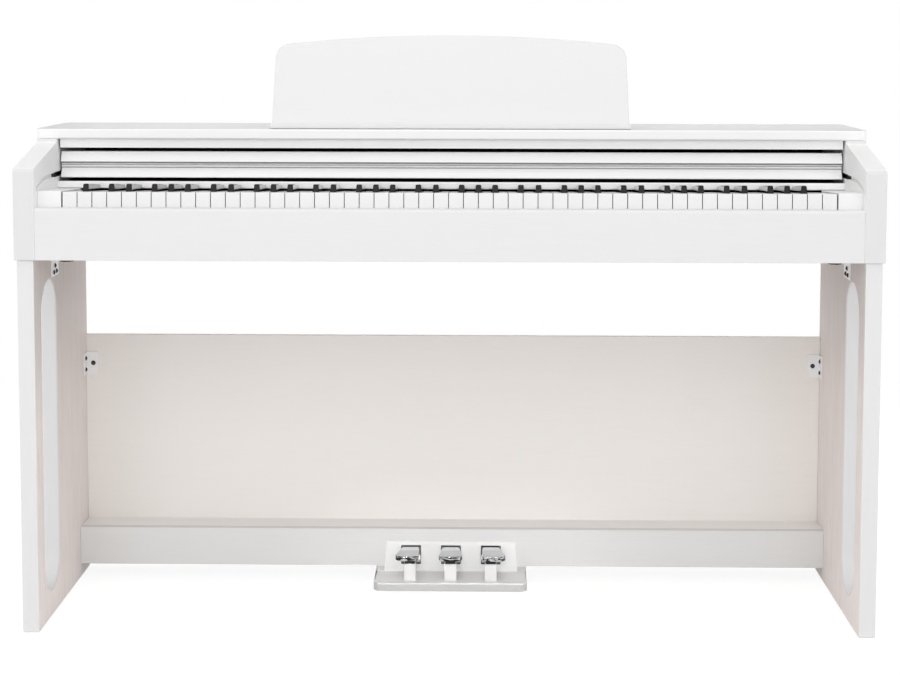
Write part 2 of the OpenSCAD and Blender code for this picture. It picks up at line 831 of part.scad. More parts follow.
// Front moulding: a leaning lower face that ends in a cove, two beads in a recessed band, and
// a leaning upper face with a rounded top. Its sizes are shares of the moulding's height.
module cover_moulding() {
    foot_r = 1.5;
    lean = moulding_t / 2 - 0.5;
    recess = moulding_front + lean + 2;
    cove_w = 2 + 0.3 * lean;
    cove_foot = cover_z + 0.22 * moulding_h;
    cove_top = cover_z + 0.4 * moulding_h;
    cove_turn = 2 * atan(cove_w / (cove_top - cove_foot));
    cove_r = (cove_top - cove_foot) / sin(cove_turn);
    upper_foot = cover_z + 0.615 * moulding_h;
    bead_x = recess - 1.5;
    big_r = 0.035 * moulding_h;
    big_z = cover_z + 0.44 * moulding_h;
    small_r = 0.022 * moulding_h;
    small_z = cover_z + 0.52 * moulding_h;
    top_r = 3.6;
    color("white")
        along_x(-cover_x, cover_x)
            polygon(concat(
                [[moulding_back, cover_z]],
                arc(moulding_front + foot_r, cover_z + foot_r, foot_r, 270, 170, 4),
                arc(recess - cove_r, cove_top, cove_r, -cove_turn, 0, 6),
                [[recess, big_z - big_r]],
                arc(bead_x, big_z, big_r, 260, 100, 6),
                [[recess, big_z + big_r], [recess, small_z - small_r]],
                arc(bead_x, small_z, small_r, 260, 100, 5),
                [[recess, small_z + small_r], [recess, upper_foot - 0.7],
                    [moulding_front + 0.6, upper_foot]],
                arc(moulding_front + lean + 1.5 + top_r, moulding_top - top_r, top_r, 155, 90, 5),
                [[moulding_back, moulding_top]]));
}

// Brackets under the panel ends with rollers that run in the grooves of the arms.
module cover_guides() {
    first = moulding_back + 64;
    second = cover_back - 15;
    color("dimgray")
        both_sides()
            for (d = [first, second])
                union() {
                    block([cover_x - 14, cover_x - 3], [d - 8, d + 8],
                        [groove_z - roller_d / 2, cover_panel_z]);
                    bar_x(cover_x - 4, inner_x + groove_depth - 0.5, d, groove_z, roller_d / 2);
                }
}

// ---------------------------------------------------------------- music rest

hinge_off = 2.7;
knuckle_r = 2.5;
hinge_pin_r = 1.25;
hinge_x = 200;
hinge_w = 30;
leaf_t = 1.2;
leaf_len = 20;
knuckle_w = 8;
mid_knuckle_w = hinge_w - 2 * (knuckle_w + fit_clear);

// Moves what is drawn upright at the hinge axis to the lean of the rest.
module on_rest()
    translate([0, back(hinge_back), rest_z])
        rotate([-rest_lean, 0, 0])
            children();

// Front view of the rest: a slight taper, a crowned top and round top corners.
module rest_outline() {
    shoulder = rest_w / 2 - rest_taper / 2;
    crown_r = (pow(shoulder, 2) + pow(rest_crown, 2)) / (2 * rest_crown);
    intersection() {
        translate([-rest_w, -2]) square([2 * rest_w, 2 * rest_h]);
        offset(r = rest_corner, $fn = 40)
            offset(delta = -rest_corner)
                intersection() {
                    polygon([[-rest_w / 2 - rest_taper / 4, -rest_h / 2],
                        [rest_w / 2 + rest_taper / 4, -rest_h / 2],
                        [shoulder, rest_h], [-shoulder, rest_h]]);
                    translate([0, rest_h - crown_r]) circle(r = crown_r, $fn = 360);
                }
    }
}

module music_rest()
    color("white")
        on_rest()
            translate([0, -hinge_off, 0])
                rotate([90, 0, 0])
                    linear_extrude(height = rest_t) rest_outline();

// Depth of the front face of the rest at height z.
function rest_face(z) =
    hinge_back + (z - rest_z) * tan(rest_lean) - (rest_t + hinge_off) / cos(rest_lean);

module music_ledge() {
    z0 = lid_top + 0.5;
    z1 = z0 + ledge_h;
    front = lid_front + 6;
    r = 2;
    half = rest_w / 2 + ledge_over;
    color("white")
        along_x(-half, half)
            polygon(concat(
                [[rest_face(z0), z0]],
                arc(front + r, z0 + r, r, 270, 180, 4),
                arc(front + r, z1 - r, r, 180, 90, 4),
                [[rest_face(z1), z1]]));
}

// Fixed halves of the two rest hinges, with their pins.
module rest_hinges()
    color("silver")
        for (side = [-1, 1])
            translate([side * hinge_x, back(hinge_back), 0])
                union() {
                    translate([-hinge_w / 2, knuckle_r + fit_clear, lid_top])
                        cube([hinge_w, leaf_len, leaf_t]);
                    for (x = [-hinge_w / 2, hinge_w / 2 - knuckle_w]) {
                        translate([x, 0, rest_z])
                            rotate([0, 90, 0]) cylinder(r = knuckle_r, h = knuckle_w, $fn = 32);
                        translate([x, 0, lid_top])
                            cube([knuckle_w, knuckle_r + 2, rest_z - lid_top]);
                    }
                    translate([-hinge_w / 2, 0, rest_z])
                        rotate([0, 90, 0]) cylinder(r = hinge_pin_r, h = hinge_w, $fn = 32);
                }

// Moving halves of the rest hinges, on the back of the rest.
module rest_hinge_leaves()
    color("silver")
        on_rest()
            for (side = [-1, 1])
                translate([side * hinge_x, 0, 0])
                    difference() {
                        union() {
                            translate([-mid_knuckle_w / 2, 0, 0])
                                rotate([0, 90, 0]) cylinder(r = knuckle_r, h = mid_knuckle_w, $fn = 32);
                            translate([-mid_knuckle_w / 2, -hinge_off, 0])
                                cube([mid_knuckle_w, leaf_t, leaf_len]);
                        }
                        translate([-hinge_w, 0, 0])
                            rotate([0, 90, 0])
                                cylinder(r = hinge_pin_r + 0.05, h = 2 * hinge_w, $fn = 32);
                    }

// ---------------------------------------------------------------- stand

// Side view of a leg with its long round ended slot.
module leg_outline() {
    slot_mid = leg_set + slot_set + slot_w / 2;
    r = 3;
    difference() {
        translate([(leg_set + depth) / 2, body_z / 2]) round_rect(depth - leg_set, body_z, r);
        translate([slot_mid - slot_w / 2, slot_z + slot_w / 2])
            square([slot_w, body_z - slot_top - slot_z - slot_w]);
        for (z = [slot_z + slot_w / 2, body_z - slot_top - slot_w / 2])
            translate([slot_mid, z]) circle(r = slot_w / 2, $fn = 96);
    }
}

module leg()
    along_x(leg_inner, leg_outer) leg_outline();

module left_leg() color("white") mirror([1, 0, 0]) leg();
module right_leg() color("white") leg();

module back_panel()
    color("white")
        block([-leg_inner, leg_inner], [panel_front, depth], [stretcher_z, panel_top]);

// Front board of the stretcher, cut out for the pedal unit.
module stretcher_front()
    color("white")
        difference() {
            block([-leg_inner, leg_inner],
                [stretcher_front_d, stretcher_front_d + stretcher_t], [stretcher_z, stretcher_top_z]);
            block([-pedal_bay, pedal_bay],
                [stretcher_front_d - 1, stretcher_front_d + stretcher_t + 1],
                [stretcher_z - 1, pedal_z + 4]);
        }

module stretcher_top()
    color("white")
        block([-leg_inner, leg_inner], [stretcher_front_d + stretcher_t, panel_front],
            [stretcher_top_z - stretcher_t, stretcher_top_z]);

// Base plate with round front corners and a rounded top edge. A riser at each side of the
// pedal bay meets the underside of the stretcher.
module pedal_base() {
    corner = 12;
    r = 5;
    color("white")
        union() {
            intersection() {
                translate([0, back((base_front + panel_front) / 2), 0])
                    linear_extrude(height = base_t)
                        round_rect(base_w, panel_front - base_front, corner);
                along_x(-base_w / 2, base_w / 2)
                    polygon(concat(
                        [[panel_front, 0]],
                        arc(base_front + 1.5, 1.5, 1.5, 270, 180, 3),
                        arc(base_front + r, base_t - r, r, 180, 90, 6),
                        [[panel_front, base_t]]));
            }
            both_sides()
                block([pedal_bay, base_w / 2 - 1.5], [stretcher_front_d, panel_front - corner],
                    [base_t - 1, stretcher_z]);
        }
}

pedal_slot_w = pedal_w + 2 * pedal_gap;
pedal_x = [-pedal_pitch, 0, pedal_pitch];

// Front view of the pedal panel, drawn in by inset: it narrows towards its top.
module panel_outline(inset) {
    half = pedal_panel_w / 2 - inset;
    narrow = 3;
    polygon([[-half, base_t], [half, base_t], [half - narrow, pedal_z + 8 - inset / 2],
        [narrow - half, pedal_z + 8 - inset / 2]]);
}

// Panel on the front of the stretcher with bevelled edges and a slot for each pedal.
module pedal_panel()
    color("white")
        difference() {
            hull() {
                along_y(pedal_panel_front + pedal_panel_t - 0.8, pedal_panel_front + pedal_panel_t)
                    panel_outline(0);
                along_y(pedal_panel_front, pedal_panel_front + 0.2)
                    panel_outline(2.5);
            }
            for (x = pedal_x)
                block([x - pedal_slot_w / 2, x + pedal_slot_w / 2],
                    [pedal_panel_front - 1, pedal_panel_front + pedal_panel_t + 1],
                    [29, pedal_z + 0.6]);
        }

// Side plates that carry the pedal rod on the base plate.
plate_t = 3;
module pedal_frame()
    color("dimgray")
        difference() {
            union() {
                for (x = [-1.5, -0.5, 0.5, 1.5])
                    block([x * pedal_pitch - plate_t / 2, x * pedal_pitch + plate_t / 2],
                        [pedal_pivot - 12, pedal_pivot + 9], [base_t, pedal_pivot_z + 9]);
                block([-1.5 * pedal_pitch, 1.5 * pedal_pitch], [pedal_pivot - 12, pedal_pivot + 9],
                    [base_t, base_t + 2]);
            }
            bar_x(-2 * pedal_pitch, 2 * pedal_pitch, pedal_pivot, pedal_pivot_z,
                pedal_rod_d / 2 + 0.02);
        }

module pedal_rod()
    color("silver")
        bar_x(-1.5 * pedal_pitch - 3, 1.5 * pedal_pitch + 3, pedal_pivot, pedal_pivot_z,
            pedal_rod_d / 2);

// Side view of a pedal: a thin blade with an arm down to its boss.
module pedal_side()
    polygon([[pedal_pivot, pedal_z], [pedal_pivot, pedal_pivot_z - 2],
        [pedal_pivot - 8, pedal_under - 6], [pedal_pivot - 20, pedal_under],
        [pedal_tip, pedal_under], [pedal_tip, pedal_z]]);

// Plan of a pedal: parallel at the slot, flaring to the tip on its left, its right or both.
module pedal_plan(left_flare, right_flare) {
    half = pedal_w / 2;
    wide = pedal_tip_w - pedal_w;
    start = pedal_panel_front - 6;
    l = -half - left_flare * wide;
    r = half + right_flare * wide;
    c = pedal_corner;
    intersection() {
        polygon([[-half, back(pedal_pivot)], [-half, back(start)], [l, back(pedal_tip + c)],
            [l, back(pedal_tip)], [r, back(pedal_tip)], [r, back(pedal_tip + c)],
            [half, back(start)], [half, back(pedal_pivot)]]);
        union() {
            translate([l, back(pedal_tip + c)]) square([r - l, pedal_pivot - pedal_tip]);
            translate([l + c, back(pedal_tip)]) square([r - l - 2 * c, c + 1]);
            for (x = [l + c, r - c])
                translate([x, back(pedal_tip + c)]) circle(r = c, $fn = 48);
        }
    }
}

// Pressed pedal: a blade whose edge is turned down round the tip and along both sides.
module pedal(x, left_flare, right_flare) {
    boss = pedal_rod_d / 2 + 3.5;
    half = pedal_w / 2;
    wall = 2;
    reach = pedal_panel_front + 10 - pedal_tip;
    color("silver")
        difference() {
            union() {
                intersection() {
                    translate([x, 0, 0])
                        linear_extrude(height = pedal_z + 1) pedal_plan(left_flare, right_flare);
                    along_x(x - pedal_tip_w, x + pedal_tip_w) pedal_side();
                }
                translate([x, 0, pedal_z - pedal_lip])
                    linear_extrude(height = pedal_lip)
                        intersection() {
                            difference() {
                                pedal_plan(left_flare, right_flare);
                                offset(delta = -wall) pedal_plan(left_flare, right_flare);
                            }
                            translate([-pedal_tip_w, back(pedal_tip)])
                                square([2 * pedal_tip_w, reach]);
                        }
                bar_x(x - half, x + half, pedal_pivot, pedal_pivot_z, boss);
            }
            bar_x(x - half - 1, x + half + 1, pedal_pivot, pedal_pivot_z, pedal_rod_d / 2 + 0.05);
        }
}

module pedal_left() pedal(-pedal_pitch, 1, 0);
module pedal_center() pedal(0, 0.5, 0.5);
module pedal_right() pedal(pedal_pitch, 0, 1);

// Compression spring under each pedal: a helix with its ends on the base plate and the pedal.
module pedal_springs() {
    wire = 1.6;
    turns = 5;
    coil_r = 6;
    steps = 16;
    sides = 6;
    z0 = base_t + wire / 2 + 0.1;
    rise = pedal_under - 0.2 - wire / 2 - z0;
    rings = turns * steps;
    points = [for (k = [0:rings], s = [0:sides - 1])
        let (a = 360 * k / steps, b = 360 * s / sides, r = coil_r + wire / 2 * cos(b))
            [r * cos(a), r * sin(a), z0 + rise * k / rings + wire / 2 * sin(b)]];
    walls = [for (k = [0:rings - 1], s = [0:sides - 1])
        [k * sides + s, k * sides + (s + 1) % sides, (k + 1) * sides + (s + 1) % sides,
            (k + 1) * sides + s]];
    caps = [[for (s = [sides - 1:-1:0]) s], [for (s = [0:sides - 1]) rings * sides + s]];
    color("silver")
        for (x = pedal_x)
            translate([x, back(pedal_panel_front + 24), 0])
                polyhedron(points = points, faces = concat(walls, caps), convexity = 10);
}

// Posts with soft pads that stop the pedals.
post_w = 21;
post_front = pedal_tip + 7;
pad_t = 3.5;
pad_top = pedal_under - (pedal_pivot - post_front) * tan(pedal_swing) - 1.6;

module pedal_stops()
    color("white")
        for (x = pedal_x)
            block([x - post_w / 2, x + post_w / 2], [post_front, post_front + 14],
                [base_t, pad_top - pad_t]);

module pedal_stop_pads()
    color([0.1, 0.1, 0.1])
        for (x = pedal_x)
            block([x - 8.5, x + 8.5], [post_front + 0.5, post_front + 12],
                [pad_top - pad_t, pad_top]);

// ---------------------------------------------------------------- brackets and fasteners

bracket_t = 2;
bracket_z = 371;
bracket_h = 40;

// Angle brackets that hold the back panel to the legs.
module panel_brackets()
    color("white")
        both_sides()
            union() {
                block([leg_inner - 22, leg_inner], [panel_front - bracket_t, panel_front],
                    [bracket_z - bracket_h / 2, bracket_z + bracket_h / 2]);
                block([leg_inner - bracket_t, leg_inner], [panel_front - 24, panel_front],
                    [bracket_z - bracket_h / 2, bracket_z + bracket_h / 2]);
            }

// Angle brackets that join the legs to the underside of the cabinet.
leg_leaf_w = 52;
leg_leaf_h = 42;
module leg_brackets()
    color("white")
        both_sides()
            difference() {
                union() {
                    block([leg_inner - bracket_t, leg_inner],
                        [knob_back - 15, knob_back - 15 + leg_leaf_w], [body_z - leg_leaf_h, body_z]);
                    block([leg_inner - 44, leg_inner],
                        [knob_back - 15, knob_back - 15 + leg_leaf_w], [body_z - bracket_t, body_z]);
                }
                translate([knob_x, back(knob_back), body_z - 5])
                    cylinder(r = knob_stem / 2 + 0.1, h = 10, $fn = 32);
            }

// Hand knobs with lobed grips that clamp the cabinet to the leg brackets.
module leg_knobs() {
    lobes = 7;
    grip_r = 11;
    grip_h = 15;
    z1 = body_z - bracket_t;
    color([0.1, 0.1, 0.1])
        both_sides()
            translate([knob_x, back(knob_back), 0])
                union() {
                    difference() {
                        translate([0, 0, z1 - grip_h]) cylinder(r = grip_r, h = grip_h - 3, $fn = 48);
                        for (k = [0:lobes - 1])
                            rotate([0, 0, 360 / lobes * k])
                                translate([grip_r + 2, 0, z1 - grip_h - 1])
                                    cylinder(r = 3.6, h = grip_h, $fn = 24);
                    }
                    translate([0, 0, z1 - 4]) cylinder(r = 7, h = 4, $fn = 32);
                    translate([0, 0, z1 - 1]) cylinder(r = knob_stem / 2, h = bottom_t + 1, $fn = 32);
                }
}

// Domed head of a screw, pointing up.
module screw_head()
    rotate_extrude($fn = 24)
        polygon(concat([[0, 0], [4, 0]], arc(0, -1.4, 4.24, 19.3, 90, 5)));

module stand_screws()
    color([0.1, 0.1, 0.1])
        both_sides() {
            for (at = [[knob_back + 9, body_z - 25], [knob_back + 19, body_z - 35],
                    [knob_back, body_z - 35.5]])
                translate([leg_inner - bracket_t, back(at[0]), at[1]])
                    rotate([0, -90, 0]) screw_head();
            for (z = [bracket_z - 10, bracket_z + 10])
                translate([leg_inner - bracket_t, back(panel_front - 14), z])
                    rotate([0, -90, 0]) screw_head();
            translate([leg_inner - 13, back(panel_front - bracket_t), bracket_z])
                rotate([90, 0, 0]) screw_head();
        }

left_arm();
right_arm();
front_rail();
bottom_board();
top_lid();
rear_panel();
upper_fascia();
cover_tray();
cheek_blocks();
key_chassis();
key_rod();
key_felts();
contact_board();
main_board();
speakers();
jack_panel();
power_button();
volume_knob();
cover_panel();
cover_moulding();
cover_guides();
music_rest();
music_ledge();
rest_hinges();
rest_hinge_leaves();
left_leg();
right_leg();
back_panel();
stretcher_front();
stretcher_top();
pedal_base();
pedal_panel();
pedal_frame();
pedal_rod();
pedal_left();
pedal_center();
pedal_right();
pedal_springs();
pedal_stops();
pedal_stop_pads();
panel_brackets();
leg_brackets();
leg_knobs();
stand_screws();
bass_white_keys();
bass_black_keys();
treble_white_keys();
treble_black_keys();
key_c();
key_c_sharp();
key_d();
key_d_sharp();
key_e();
key_f();
key_f_sharp();
key_g();
key_g_sharp();
key_a();
key_a_sharp();
key_b();
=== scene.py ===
import bmesh
import bpy
import json
import math
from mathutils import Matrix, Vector

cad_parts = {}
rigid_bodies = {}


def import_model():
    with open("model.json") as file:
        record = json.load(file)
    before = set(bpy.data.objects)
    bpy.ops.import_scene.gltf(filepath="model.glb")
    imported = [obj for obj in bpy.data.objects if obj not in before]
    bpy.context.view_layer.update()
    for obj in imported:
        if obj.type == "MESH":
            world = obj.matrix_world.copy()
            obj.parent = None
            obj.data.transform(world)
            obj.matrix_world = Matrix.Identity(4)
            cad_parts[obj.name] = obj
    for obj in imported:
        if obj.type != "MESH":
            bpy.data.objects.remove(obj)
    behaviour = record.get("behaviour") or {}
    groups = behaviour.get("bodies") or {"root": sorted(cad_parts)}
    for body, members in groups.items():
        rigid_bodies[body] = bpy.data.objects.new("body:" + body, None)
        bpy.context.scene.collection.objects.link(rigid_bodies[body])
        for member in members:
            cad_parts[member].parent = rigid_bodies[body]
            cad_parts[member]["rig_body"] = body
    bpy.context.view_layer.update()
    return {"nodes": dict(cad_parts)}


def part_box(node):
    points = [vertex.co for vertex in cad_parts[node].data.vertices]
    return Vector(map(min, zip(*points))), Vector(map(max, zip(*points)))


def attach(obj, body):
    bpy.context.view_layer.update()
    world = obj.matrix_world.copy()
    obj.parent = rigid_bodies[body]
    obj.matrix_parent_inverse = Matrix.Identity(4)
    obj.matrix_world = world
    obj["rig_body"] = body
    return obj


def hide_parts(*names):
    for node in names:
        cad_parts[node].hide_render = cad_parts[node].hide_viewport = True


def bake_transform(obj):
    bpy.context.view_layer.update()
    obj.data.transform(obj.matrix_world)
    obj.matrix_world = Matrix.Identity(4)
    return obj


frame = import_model()

# Camera: level with the top of the music rest and three metres in front of the arms, tilted
# down a little, with a lens shift that keeps the legs nearly upright.
CAMERA_PLACE = (0.0527, -3.203, 0.9472)
CAMERA_DIP, CAMERA_ROLL, CAMERA_TURN = 0.08428, -0.00177, 0.0168
scene = bpy.context.scene
scene.view_settings.view_transform = "Standard"
camera_data = bpy.data.cameras.new("camera")
camera_data.sensor_width = 36
camera_data.lens = 77.05
camera_data.shift_y = -0.15
camera = bpy.data.objects.new("camera", camera_data)
camera.location = CAMERA_PLACE
camera.rotation_euler = (math.radians(90) - CAMERA_DIP, CAMERA_ROLL, CAMERA_TURN)
scene.collection.objects.link(camera)
scene.camera = camera

# White room: bright to the eye and in reflections, but giving the piano only a soft fill, which
# is stronger from the front half of the room than from the back.
FILL_FRONT, FILL_BACK = 0.70, 0.32
FILL_TURN = 0.6  # how far a direction leans to the front or the back for the full value


def tree_node(tree, kind, links=(), **values):
    """A node with its settings, its socket values (named with in_ before) and its links."""
    made = tree.nodes.new(kind)
    for name, value in values.items():
        if name.startswith("in_"):
            made.inputs[name[3:].replace("_", " ")].default_value = value
        else:
            setattr(made, name, value)
    for source, socket in links:
        tree.links.new(source, made.inputs[socket])
    return made


def seen_directly(tree):
    """1 for camera, glossy and transmitted rays, 0 for the rays that light things."""
    rays = tree_node(tree, "ShaderNodeLightPath").outputs
    seen = rays["Is Camera Ray"]
    for kind in ("Is Glossy Ray", "Is Transmission Ray"):
        seen = tree_node(tree, "ShaderNodeMath", [(seen, 0), (rays[kind], 1)],
                         operation="MAXIMUM").outputs[0]
    return seen


room = bpy.data.worlds.new("white_room")
room.use_nodes = True
scene.world = room
room_tree = room.node_tree
direction = tree_node(room_tree, "ShaderNodeTexCoord").outputs["Generated"]
towards_back = tree_node(room_tree, "ShaderNodeSeparateXYZ", [(direction, 0)]).outputs["Y"]
room_fill = tree_node(room_tree, "ShaderNodeMapRange", [(towards_back, "Value")],
                      in_From_Min=-FILL_TURN, in_From_Max=FILL_TURN,
                      in_To_Min=FILL_FRONT, in_To_Max=FILL_BACK)
room_level = tree_node(room_tree, "ShaderNodeMapRange",
                       [(seen_directly(room_tree), "Value"),
                        (room_fill.outputs["Result"], "To Min")], in_To_Max=1)
room_light = room_tree.nodes["Background"]
room_light.inputs["Color"].default_value = (1, 1, 1, 1)
room_tree.links.new(room_level.outputs["Result"], room_light.inputs["Strength"])

# Studio floor: a seamless sheet of white paper. Round the stand it keeps a soft shadow, and
# from one to two and a half metres out it turns into the plain white of the room.
FLOOR_HALF, FLOOR_DROP = 20, 0.0005
PAPER_WHITE = (0.93, 0.93, 0.93, 1)
FADE_START, FADE_END = 0.9, 2.4
GLOW_NEAR, GLOW_FAR = 0.72, 1.0
WHITE_NEAR, WHITE_FAR = 1.17, 1.0
floor_mesh = bpy.data.meshes.new("floor")
bm = bmesh.new()
bmesh.ops.create_grid(bm, x_segments=1, y_segments=1, size=FLOOR_HALF)
bmesh.ops.translate(bm, verts=bm.verts, vec=(0, 0, -FLOOR_DROP))
bm.to_mesh(floor_mesh)
bm.free()
floor = bpy.data.objects.new("floor", floor_mesh)
scene.collection.objects.link(floor)
paper = bpy.data.materials.new("white_paper")
paper.use_nodes = True
paper_tree = paper.node_tree
paper_tree.nodes.clear()
paper_place = tree_node(paper_tree, "ShaderNodeTexCoord").outputs["Object"]
paper_reach = tree_node(paper_tree, "ShaderNodeVectorMath", [(paper_place, 0)],
                        operation="LENGTH").outputs["Value"]
glow_share, glow_white = (
    tree_node(paper_tree, "ShaderNodeMapRange", [(paper_reach, "Value")],
              interpolation_type="SMOOTHSTEP", in_From_Min=FADE_START, in_From_Max=FADE_END,
              in_To_Min=near, in_To_Max=far).outputs["Result"]
    for near, far in ((GLOW_NEAR, GLOW_FAR), (WHITE_NEAR, WHITE_FAR)))
paper_matt = tree_node(paper_tree, "ShaderNodeBsdfDiffuse", in_Color=PAPER_WHITE)
paper_glow = tree_node(paper_tree, "ShaderNodeEmission", [(glow_white, "Strength")])
paper_seen = tree_node(paper_tree, "ShaderNodeMath",
                       [(seen_directly(paper_tree), 0), (glow_share, 1)], operation="MULTIPLY")
paper_mix = tree_node(paper_tree, "ShaderNodeMixShader",
                      [(paper_seen.outputs[0], "Fac"), (paper_matt.outputs[0], 1),
                       (paper_glow.outputs[0], 2)])
tree_node(paper_tree, "ShaderNodeOutputMaterial", [(paper_mix.outputs[0], "Surface")])
floor_mesh.materials.append(paper)

# Lamps: a soft panel in front, higher than the piano, a very wide low one that reaches under
# the cabinet and the insides of the legs, one overhead, one behind for the back, one at each
# side, and a small one with a narrow beam for the pedals.
for name, place, aim, width, height, power, spread in (
        ("front_panel", (-0.3, -2.9, 2.3), (0, 0, 0.7), 2.6, 1.3, 15, 180),
        ("wide_panel", (-0.1, -3.5, 1.1), (0, 0, 0.4), 6.4, 1.4, 30, 180),
        ("overhead_panel", (0, -1.0, 3.2), (0, 0, 0.7), 4.5, 1.6, 25, 180),
        ("rear_panel_light", (0, 3.9, 1.7), (0, 0, 0.6), 3.0, 1.8, 46, 180),
        ("left_side_panel", (-3.4, 0.2, 1.2), (-0.7, 0, 0.5), 1.6, 1.4, 14, 180),
        ("right_side_panel", (3.4, 0.2, 1.2), (0.7, 0, 0.5), 1.6, 1.4, 14, 180),
        ("pedal_light", (0.03, -1.2, 0.3), (0.03, -0.05, 0.05), 0.5, 0.1, 0.05, 15)):
    lamp_data = bpy.data.lights.new(name, "AREA")
    lamp_data.shape = "RECTANGLE"
    lamp_data.size = width
    lamp_data.size_y = height
    lamp_data.energy = power
    lamp_data.spread = math.radians(spread)
    lamp = bpy.data.objects.new(name, lamp_data)
    lamp.location = place
    lamp.rotation_euler = (Vector(aim) - Vector(place)).to_track_quat("-Z", "Y").to_euler()
    scene.collection.objects.link(lamp)


# Legs: two particle boards in white foil, each cut through by a long slot with round ends. The
# foil has an ash grain pressed into it, rosy inside and plain white outside. Inside, it is
# darkened towards the top as painted shade under the cabinet. The edges wear a plainer edging,
# painted darker as painted shade against the light that falls full on them, and the slot has a
# rounded rim.
def new_finish(name, roughness, metallic=0.0, **fixed):
    """A material with its shader and with the object's own coordinates for its patterns."""
    made = bpy.data.materials.new(name)
    made.use_nodes = True
    tree = made.node_tree
    shader = tree.nodes["Principled BSDF"]
    shader.inputs["Roughness"].default_value = roughness
    shader.inputs["Metallic"].default_value = metallic
    for socket, value in fixed.items():
        shader.inputs[socket.replace("_", " ")].default_value = value
    place = tree_node(tree, "ShaderNodeTexCoord").outputs["Object"]
    return made, tree, shader, place


def shaded(colour, factor):
    """The colour made darker or lighter, with no part above 1."""
    return tuple(min(1, part * factor) for part in colour)


def between(tree, factor, *ends):
    """A colour between two, each of which is given by its numbers or by another node."""
    mix = tree_node(tree, "ShaderNodeMix", [(factor, "Factor")], data_type="RGBA")
    for socket, end in zip(mix.inputs[6:8], ends):
        if isinstance(end, tuple):
            socket.default_value = (*end, 1)
        else:
            tree.links.new(end, socket)
    return mix.outputs[2]


STREAK_SCALE, PORE_SCALE = 55, 420
STREAK_SWING, PORE_SWING = 1.6, 2.6


def wood_foil(name, grain_scale, colour, contrast=0.006, press=0.00008, sheen=0.06):
    """Satin white foil with long soft streaks and short fine pores along the grain."""
    made, tree, shader, place = new_finish(name, 0.5, Specular_IOR_Level=sheen)
    along = tree_node(tree, "ShaderNodeMapping", [(place, "Vector")], in_Scale=grain_scale)
    streaks = tree_node(tree, "ShaderNodeTexNoise", [(along.outputs[0], "Vector")],
                        in_Scale=STREAK_SCALE, in_Detail=3, in_Roughness=0.6,
                        in_Distortion=0.4).outputs["Fac"]
    pores = tree_node(tree, "ShaderNodeTexNoise", [(along.outputs[0], "Vector")],
                      in_Scale=PORE_SCALE, in_Detail=2, in_Roughness=0.5).outputs["Fac"]
    pore_lines = tree_node(tree, "ShaderNodeMapRange", [(pores, "Value")],
                           in_From_Min=0.30, in_From_Max=0.46).outputs[0]
    tint = between(tree, streaks, shaded(colour, 1 - STREAK_SWING * contrast),
                   shaded(colour, 1 + STREAK_SWING * contrast))
    pored = between(tree, pore_lines, shaded(colour, 1 - PORE_SWING * contrast), tint)
    tree.links.new(pored, shader.inputs["Base Color"])
    gloss = tree_node(tree, "ShaderNodeMapRange", [(streaks, "Value")],
                      in_To_Min=0.46, in_To_Max=0.58)
    tree.links.new(gloss.outputs[0], shader.inputs["Roughness"])
    ridges = tree_node(tree, "ShaderNodeMath", [(pore_lines, 0), (streaks, 1)],
                       operation="ADD")
    bump = tree_node(tree, "ShaderNodeBump", [(ridges.outputs[0], "Height")],
                     in_Strength=0.35, in_Distance=press)
    tree.links.new(bump.outputs[0], shader.inputs["Normal"])
    return made


WELD_GAP, FLAT_ANGLE, CREASE_ANGLE = 2e-6, math.radians(0.5), math.radians(40)


def merged(node):
    """A copy of a solid's mesh with its loose triangles joined into whole faces."""
    bm = bmesh.new()
    bm.from_mesh(frame["nodes"][node].data)
    bmesh.ops.remove_doubles(bm, verts=bm.verts, dist=WELD_GAP)
    bmesh.ops.dissolve_limit(bm, angle_limit=FLAT_ANGLE, verts=bm.verts, edges=bm.edges)
    return bm


def ease_edges(bm, ease, steps, sharp=33, wanted=None):
    """Rounds the edges that turn by more than sharp degrees, or those of them that the given
    test picks out."""
    edges = [e for e in bm.edges
             if len(e.link_faces) == 2 and e.calc_face_angle() > math.radians(sharp)
             and (wanted is None or wanted(e))]
    bmesh.ops.bevel(bm, geom=edges, offset=ease, offset_type="OFFSET", segments=steps,
                    profile=0.5, affect="EDGES", clamp_overlap=False, material=-1)


def set_out(name, bm, material, body, nodes=(), flats=True):
    """Turns finished mesh work into a piece that rides on its body, if one is given, and stands
    for its nodes."""
    mesh = bpy.data.meshes.new(name)
    for face in bm.faces:
        face.smooth = True
    bm.to_mesh(mesh)
    bm.free()
    mesh.set_sharp_from_angle(angle=CREASE_ANGLE)
    mesh.materials.append(material)
    made = bpy.data.objects.new(name, mesh)
    scene.collection.objects.link(made)
    if flats:
        keep_flat = made.modifiers.new("flat_faces", "WEIGHTED_NORMAL")
        keep_flat.keep_sharp = True
        keep_flat.weight = 100
    if body:
        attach(made, body)
    if nodes:
        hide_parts(*nodes)
    return made


def finished(bm, node, name, material):
    """Sets out the worked copy of a solid, kept inside the solid's own size."""
    low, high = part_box(node)
    for vert in bm.verts:
        vert.co = [min(max(place, a), b) for place, a, b in zip(vert.co, low, high)]
    return set_out(name, bm, material, frame["nodes"][node]["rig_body"], [node])


def eased(node, name, material, ease=0.001, steps=3, sharp=33):
    """The solid's shape with its sharp edges eased, as a board leaves the workshop."""
    bm = merged(node)
    ease_edges(bm, ease, steps, sharp)
    return finished(bm, node, name, material)


def second_finish(piece, material, chosen):
    """Gives the faces that the test picks out, by centre and normal, another finish."""
    piece.data.materials.append(material)
    for face in piece.data.polygons:
        if chosen(face.center, face.normal):
            face.material_index = len(piece.data.materials) - 1


